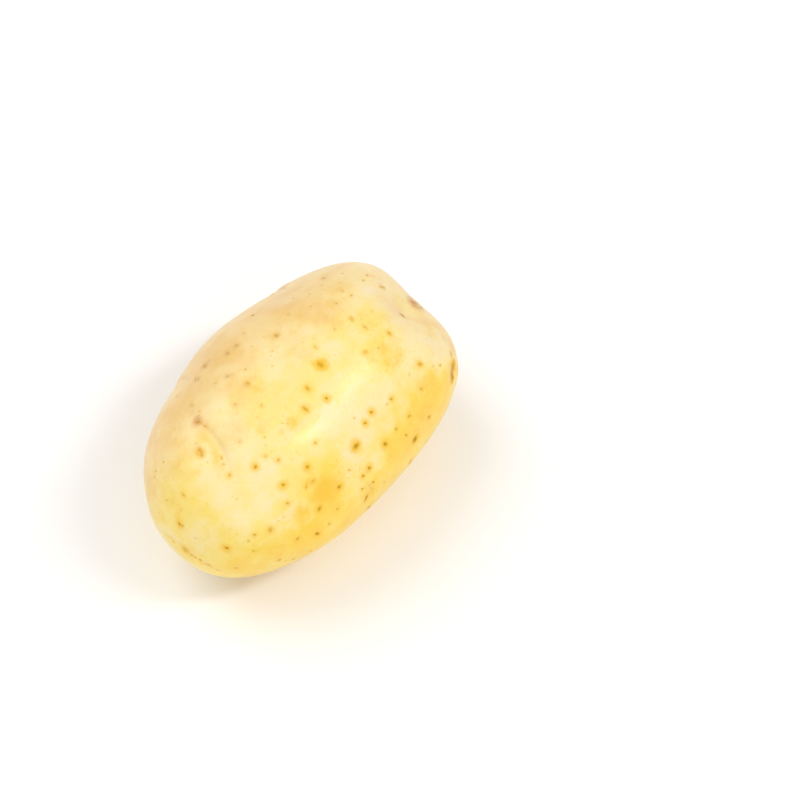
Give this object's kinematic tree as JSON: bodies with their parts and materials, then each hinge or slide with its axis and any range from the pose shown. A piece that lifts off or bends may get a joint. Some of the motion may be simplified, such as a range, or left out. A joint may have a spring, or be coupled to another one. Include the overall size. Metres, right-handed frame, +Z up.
{
  "type": "potato",
  "caption": "Oblong yellow-skinned table potato lying on its side, a solid tuber with shallow eyes and a stem scar.",
  "frame": {"origin": "on the surface that the potato rests on, under the middle of its bounding box", "axes": "+Z up; X along the tuber, with +X to the stem end and -X to the apex where most eyes sit; Y across its width"},
  "size_m": [0.1036, 0.0672, 0.0591],
  "materials": {
    "potato_skin": "smooth washed skin, faintly waxy, freckled with pores"
  },
  "bodies": {
    "root": {"potato": "potato_skin"}
  },
  "joints": []
}
